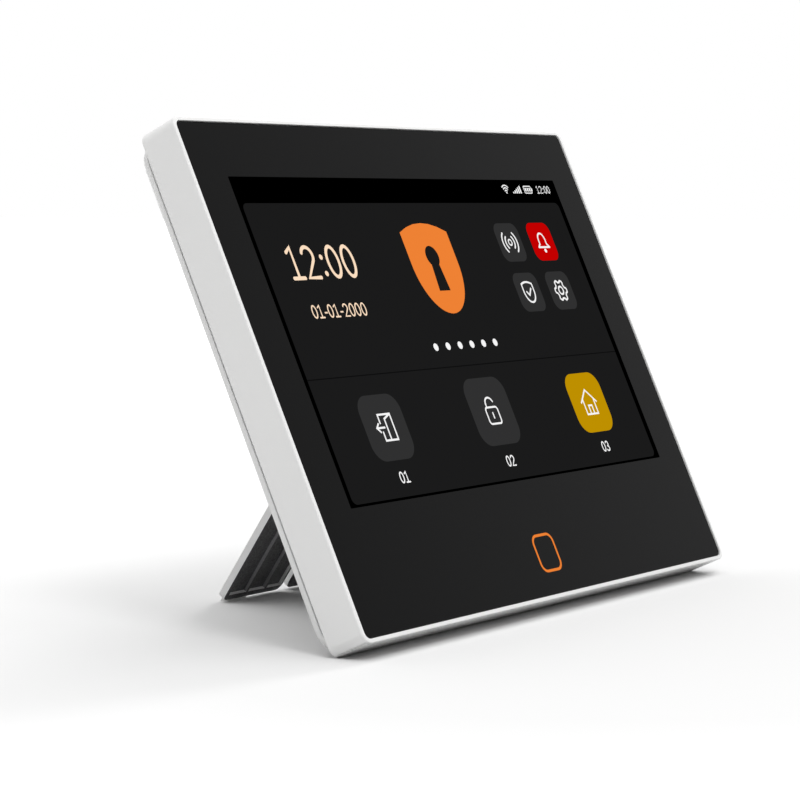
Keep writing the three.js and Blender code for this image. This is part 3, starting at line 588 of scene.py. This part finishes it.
# Strokes of each numeral: its points, and whether it closes
NUMERAL_SHARES = {
    "0": [(arc(0.36, 0.5, 0.28, 0.5, 0, 360, 32)[:-1], True)],
    "1": [
        ([(0.12, 0.84), (0.36, 1.0), (0.36, 0.0)], False),
        ([(0.08, 0.0), (0.64, 0.0)], False),
    ],
    "2": [(arc(0.34, 0.72, 0.27, 0.28, 160, -35, 16) + [(0.07, 0.0), (0.66, 0.0)], False)],
    "3": [
        (arc(0.32, 0.75, 0.24, 0.25, 150, -80, 14), False),
        (arc(0.32, 0.25, 0.29, 0.25, 80, -150, 14), False),
    ],
    "-": [([(0.08, 0.38), (0.36, 0.38)], False)],
}
NUMERAL_ADVANCE_SHARE = {"-": DASH_WIDTH_SHARE, ":": NARROW_WIDTH_SHARE}


def numerals(marks, text, place, stroke):
    """Writes plain numbers from their lower left corner."""
    x, z, height = place
    for sign in text:
        if sign == ":":
            for share in COLON_SHARES:
                middle = x + height * NARROW_WIDTH_SHARE / 2
                marks.fill(disc(middle, z + height * share, stroke * COLON_DOT_SHARE))
        for points, closed in NUMERAL_SHARES.get(sign, ()):
            marks.line([(x + height * px, z + height * pz) for px, pz in points], stroke, closed)
        x += height * NUMERAL_ADVANCE_SHARE.get(sign, NUMERAL_WIDTH_SHARE)


# The shield, with shares of its height and of its half width
SHIELD_PEAK_SHARE = 0.10
SHIELD_WAIST_SHARE = 0.05
SHIELD_TOP_SHARES = (1, 0.66, 0.33, 0)
SHIELD_STEPS = 14


def shield_outline(x, z, width, height):
    """A heater shield: a low peaked top and two sides that curve in to a point."""
    half = width / 2
    top, bottom = z + height / 2, z - height / 2
    peak = height * SHIELD_PEAK_SHARE
    waist = z + height * SHIELD_WAIST_SHARE
    lower = arc(x, waist, half, waist - bottom, 180, 270, SHIELD_STEPS)
    rise = [(x + half * share, top - peak * share ** 2) for share in SHIELD_TOP_SHARES]
    mirror, fall = [[(2 * x - px, pz) for px, pz in side[::-1][1:]] for side in (lower, rise)]
    return lower + mirror + rise + fall


# Pictures on the tiles, each about its own middle, in millimetres
WAVE_RADII = (2.25, 3.75)
WAVE_HALF_ANGLE = 48
WAVE_RING_RADIUS = 0.85
WAVE_RING_SHARE = 0.8
GEAR_TEETH = 6
GEAR_STEPS = 96
GEAR_RADIUS = 2.75
GEAR_TOOTH = 0.38
GEAR_SHARPNESS = 2.4
GEAR_HOLE_RADIUS = 1.15


def draw_waves(marks, x, z):
    marks.line(disc(x, z, WAVE_RING_RADIUS), ICON_STROKE * WAVE_RING_SHARE, True)
    for radius in WAVE_RADII:
        for middle in (0, 180):
            start, end = middle - WAVE_HALF_ANGLE, middle + WAVE_HALF_ANGLE
            marks.line(arc(x, z, radius, radius, start, end), ICON_STROKE)


def draw_bell(marks, x, z):
    dome = arc(x, z + 0.4, 1.8, 2.1, 180, 0, 16)
    left_foot = [(x - 2.9, z - 1.7), (x - 1.8, z - 0.7)]
    right_foot = [(x + 1.8, z - 0.7), (x + 2.9, z - 1.7)]
    marks.line(left_foot + dome + right_foot, ICON_STROKE)
    marks.line([left_foot[0], right_foot[1]], ICON_STROKE)
    marks.fill(disc(x, z - 2.75, 0.62))


def draw_check(marks, x, z):
    marks.line(shield_outline(x, z, 5.4, 6.0), ICON_STROKE, True)
    marks.line([(x - 1.25, z + 0.1), (x - 0.3, z - 0.9), (x + 1.4, z + 1.0)], ICON_STROKE)


def draw_gear(marks, x, z):
    points = []
    for k in range(GEAR_STEPS):
        turn = 2 * math.pi * k / GEAR_STEPS
        radius = GEAR_RADIUS + GEAR_TOOTH * math.tanh(GEAR_SHARPNESS * math.cos(GEAR_TEETH * turn))
        points.append((x + radius * math.cos(turn), z + radius * math.sin(turn)))
    marks.line(points, ICON_STROKE, True)
    marks.line(disc(x, z, GEAR_HOLE_RADIUS), ICON_STROKE, True)


def draw_door(marks, x, z):
    stroke = LARGE_ICON_STROKE
    marks.line([(x - 1.9, z + 1.2), (x - 1.9, z + 3.4), (x + 3.4, z + 3.4), (x + 3.4, z - 3.4),
                (x - 1.9, z - 3.4), (x - 1.9, z - 1.2)], stroke)
    marks.line([(x + 0.5, z - 3.4), (x + 0.5, z + 2.2), (x + 3.4, z + 3.4)], stroke)
    marks.line([(x - 0.6, z), (x - 4.0, z)], stroke)
    marks.line([(x - 2.8, z + 1.1), (x - 4.0, z), (x - 2.8, z - 1.1)], stroke)


def draw_unlocked(marks, x, z):
    stroke = LARGE_ICON_STROKE
    marks.line(rounded(x, z - 1.2, 5.8, 4.6, 0.9), stroke, True)
    marks.line([(x - 1.9, z + 1.1), (x - 1.9, z + 2.0)] + arc(x, z + 2.0, 1.9, 1.8, 180, 20, 14), stroke)
    marks.line([(x, z - 0.5), (x, z - 1.9)], stroke)


def draw_house(marks, x, z):
    stroke = LARGE_ICON_STROKE
    marks.line([(x - 4.1, z + 0.1), (x, z + 3.7), (x + 4.1, z + 0.1)], stroke)
    marks.line([(x - 2.9, z + 0.9), (x - 2.9, z - 3.4), (x + 2.9, z - 3.4), (x + 2.9, z + 0.9)], stroke)
    marks.line([(x - 0.9, z - 3.4), (x - 0.9, z - 0.9), (x + 0.9, z - 0.9), (x + 0.9, z - 3.4)], stroke)


def status_row(marks):
    """Radio, signal and battery marks beside the small clock."""
    for radius in RADIO_RADII:
        marks.line(arc(*RADIO_MARK, radius, radius, *RADIO_SWEEP, RADIO_STEPS), RADIO_STROKE)
    marks.fill(disc(*RADIO_DOT))
    x, z = SIGNAL_START
    for k in range(SIGNAL_BARS):
        height = SIGNAL_HEIGHT * (k + 1) / SIGNAL_BARS
        marks.fill(rounded(x + SIGNAL_PITCH * k, z + height / 2, SIGNAL_BAR_WIDTH, height, BAR_CORNER))
    marks.line(rounded(*BATTERY_OUTLINE), BATTERY_STROKE, True)
    x, z = BATTERY_BAR_START
    for k in range(BATTERY_BARS):
        marks.fill(rounded(x + BATTERY_BAR_PITCH * k, z, *BATTERY_BAR_SIZE, BAR_CORNER))
    marks.fill(rounded(*BATTERY_TIP))


def small_tile(column, row):
    place = (SMALL_COLUMNS[column], SMALL_ROWS[row])
    return rounded(*place, SMALL_TILE, SMALL_TILE_HEIGHT, SMALL_TILE_CORNER)


def large_tile(number):
    return rounded(*LARGE_TILES[number], LARGE_TILE_CORNER)


def keyhole():
    x, z = SHIELD[:2]
    half, drop = KEYHOLE_FOOT
    head = arc(x, z + KEYHOLE_RISE, KEYHOLE_RADIUS, KEYHOLE_RADIUS, *KEYHOLE_SWEEP, KEYHOLE_STEPS)
    return head + [(x - half, z - drop), (x + half, z - drop)]


def plates(name, layer, material_name, colour, *outlines):
    """One piece of the lit picture, in one colour."""
    marks = Marks(layer)
    for loops in outlines:
        marks.fill(*loops)
    marks.piece(name, lit(material_name, colour), "display")


def white_marks():
    """The pictures, labels, dots and status row, above the tiles."""
    white = Marks(MARK_LAYER)
    first_column, second_column = SMALL_COLUMNS
    top_row, low_row = SMALL_ROWS
    draw_waves(white, first_column, top_row)
    draw_bell(white, second_column, top_row)
    draw_check(white, first_column, low_row)
    draw_gear(white, second_column, low_row)
    for draw, place in zip((draw_door, draw_unlocked, draw_house), LARGE_TILES):
        draw(white, place[0], place[1])
    for number, place in enumerate(LARGE_TILES):
        label = f"0{number + 1}"
        width = LABEL_SIZE * NUMERAL_WIDTH_SHARE * len(label)
        numerals(white, label, (place[0] - width / 2, LABEL_HEIGHT, LABEL_SIZE), LABEL_STROKE)
    first = DOT_ROW_MIDDLE - DOT_ROW_PITCH * (DOT_ROW_COUNT - 1) / 2
    for k in range(DOT_ROW_COUNT):
        white.fill(disc(first + DOT_ROW_PITCH * k, DOT_ROW_HEIGHT, DOT_RADIUS))
    numerals(white, CLOCK_TEXT, STATUS_CLOCK, STATUS_STROKE)
    status_row(white)
    white.piece("screen_marks_white", lit("mark_white", MARK_WHITE), "display")


def screen():
    """The display's window and its lit picture, in layers on the glass."""
    window = Marks(WINDOW_LAYER)
    window.fill(rounded(*WINDOW, WINDOW_CORNER))
    window.piece("display_window", slot_materials["display"], "display")

    x, _, width, _ = PICTURE
    picture = rounded(*PICTURE, PICTURE_CORNER)
    divider = rounded(x, DIVIDER_HEIGHT, width, DIVIDER_WIDTH, DIVIDER_CORNER)
    grey_tiles = [[small_tile(column, row)] for column, row in ((0, 0), (0, 1), (1, 1))]
    grey_tiles += [[large_tile(0)], [large_tile(1)]]
    plates("screen_picture", PICTURE_LAYER, "picture_grey", PANEL_GREY, [picture])
    plates("screen_divider", TILE_LAYER, "divider_dark", PANEL_LINE, [divider])
    plates("screen_tiles_grey", TILE_LAYER, "tile_grey", TILE_GREY, *grey_tiles)
    plates("screen_tile_red", TILE_LAYER, "tile_red", TILE_RED, [small_tile(1, 0)])
    plates("screen_tile_gold", TILE_LAYER, "tile_gold", TILE_GOLD, [large_tile(2)])

    cream = Marks(TILE_LAYER)
    numerals(cream, CLOCK_TEXT, CLOCK, CLOCK_STROKE)
    numerals(cream, DATE_TEXT, DATE, DATE_STROKE)
    cream.piece("screen_numbers_cream", lit("mark_cream", MARK_CREAM), "display")

    shield = [shield_outline(*SHIELD), keyhole()]
    plates("screen_shield", TILE_LAYER, "mark_orange", MARK_ORANGE, shield)
    white_marks()


def touch_key():
    """The lit outline of the touch key, under the display."""
    key = Marks(KEY_LAYER)
    x, z, size = KEY_MARK
    key.line(rounded(x, z, size, size, KEY_MARK_CORNER), KEY_MARK_STROKE, True)
    key.piece("touch_key_mark", lit("key_orange", MARK_ORANGE), "key_light")


# Floor, light and camera
def seen_directly(tree):
    """1 for what the camera, a mirror or glass shows, and 0 for what lights the object."""
    path = tree.nodes.new("ShaderNodeLightPath")
    total = path.outputs["Is Camera Ray"]
    for name in ("Is Glossy Ray", "Is Transmission Ray"):
        total = combine(tree, "ADD", total, path.outputs[name], clamp=True)
    return total


def distance_from_glow_centre(tree):
    """Metres from a point on the floor just before the object's middle."""
    place = tree.nodes.new("ShaderNodeTexCoord")
    length = tree.nodes.new("ShaderNodeVectorMath")
    length.operation = "DISTANCE"
    length.inputs[1].default_value = GLOW_CENTRE
    tree.links.new(place.outputs["Object"], length.inputs[0])
    return length.outputs["Value"]


def pale_floor():
    """A pale floor that turns white with distance, so that no edge shows behind the object."""
    mesh = bpy.data.meshes.new("floor")
    corners = [(sx * FLOOR_REACH, sy * FLOOR_REACH, 0) for sx, sy in ((-1, -1), (1, -1), (1, 1), (-1, 1))]
    mesh.from_pydata(corners, [], [(0, 1, 2, 3)])
    floor = bpy.data.objects.new("floor", mesh)
    bpy.context.scene.collection.objects.link(floor)
    material, tree, shader = new_material("pale_floor")
    shader.inputs["Base Color"].default_value = (FLOOR_COLOUR, FLOOR_COLOUR, FLOOR_COLOUR, 1)
    shader.inputs["Roughness"].default_value = FLOOR_ROUGHNESS
    shader.inputs["Specular IOR Level"].default_value = 0
    shader.inputs["Emission Color"].default_value = (1, 1, 1, 1)
    fade = spread(tree, distance_from_glow_centre(tree), 0, GLOW_STRENGTH, GLOW_START, GLOW_FULL)
    glow = combine(tree, "MULTIPLY", seen_directly(tree), fade)
    tree.links.new(glow, shader.inputs["Emission Strength"])
    floor.data.materials.append(material)


def white_world():
    """White to look at, and a soft light that comes mostly from above."""
    world = bpy.data.worlds.new("studio")
    bpy.context.scene.world = world
    world.use_nodes = True
    tree = world.node_tree
    direction = tree.nodes.new("ShaderNodeTexCoord")
    parts = tree.nodes.new("ShaderNodeSeparateXYZ")
    tree.links.new(direction.outputs["Generated"], parts.inputs[0])
    rise = combine(tree, "POWER", spread(tree, parts.outputs["Z"], 0, 1), SKY_FALLOFF)
    sky = spread(tree, rise, 0, ZENITH_LIGHT)
    strength = tree.nodes.new("ShaderNodeMapRange")
    tree.links.new(sky, strength.inputs["To Min"])
    strength.inputs["To Max"].default_value = 1
    tree.links.new(seen_directly(tree), strength.inputs["Value"])
    background = tree.nodes["Background"]
    background.inputs["Color"].default_value = (1, 1, 1, 1)
    tree.links.new(strength.outputs["Result"], background.inputs["Strength"])


def area_light(name, place, size, power):
    lamp = bpy.data.lights.new(name, "AREA")
    lamp.shape = "SQUARE"
    lamp.size = size
    lamp.energy = power
    light = bpy.data.objects.new(name, lamp)
    light.location = place
    aim = Vector(LAMP_TARGET) - Vector(place)
    light.rotation_euler = aim.to_track_quat("-Z", "Y").to_euler()
    bpy.context.scene.collection.objects.link(light)


def camera():
    data = bpy.data.cameras.new("camera")
    data.sensor_width = SENSOR_WIDTH
    data.lens = CAMERA_LENS
    data.shift_y = CAMERA_RISE
    view = bpy.data.objects.new("camera", data)
    view.location = CAMERA_PLACE
    view.rotation_euler = (math.radians(90 - CAMERA_ELEVATION), 0, math.radians(CAMERA_AZIMUTH))
    bpy.context.scene.collection.objects.link(view)
    bpy.context.scene.camera = view


dress_frame()
screen()
touch_key()
pale_floor()
white_world()
for name, (place, size, power) in LAMPS.items():
    area_light(name, place, size, power)
camera()
bpy.context.scene.view_settings.view_transform = "Standard"

bpy.context.view_layer.update()
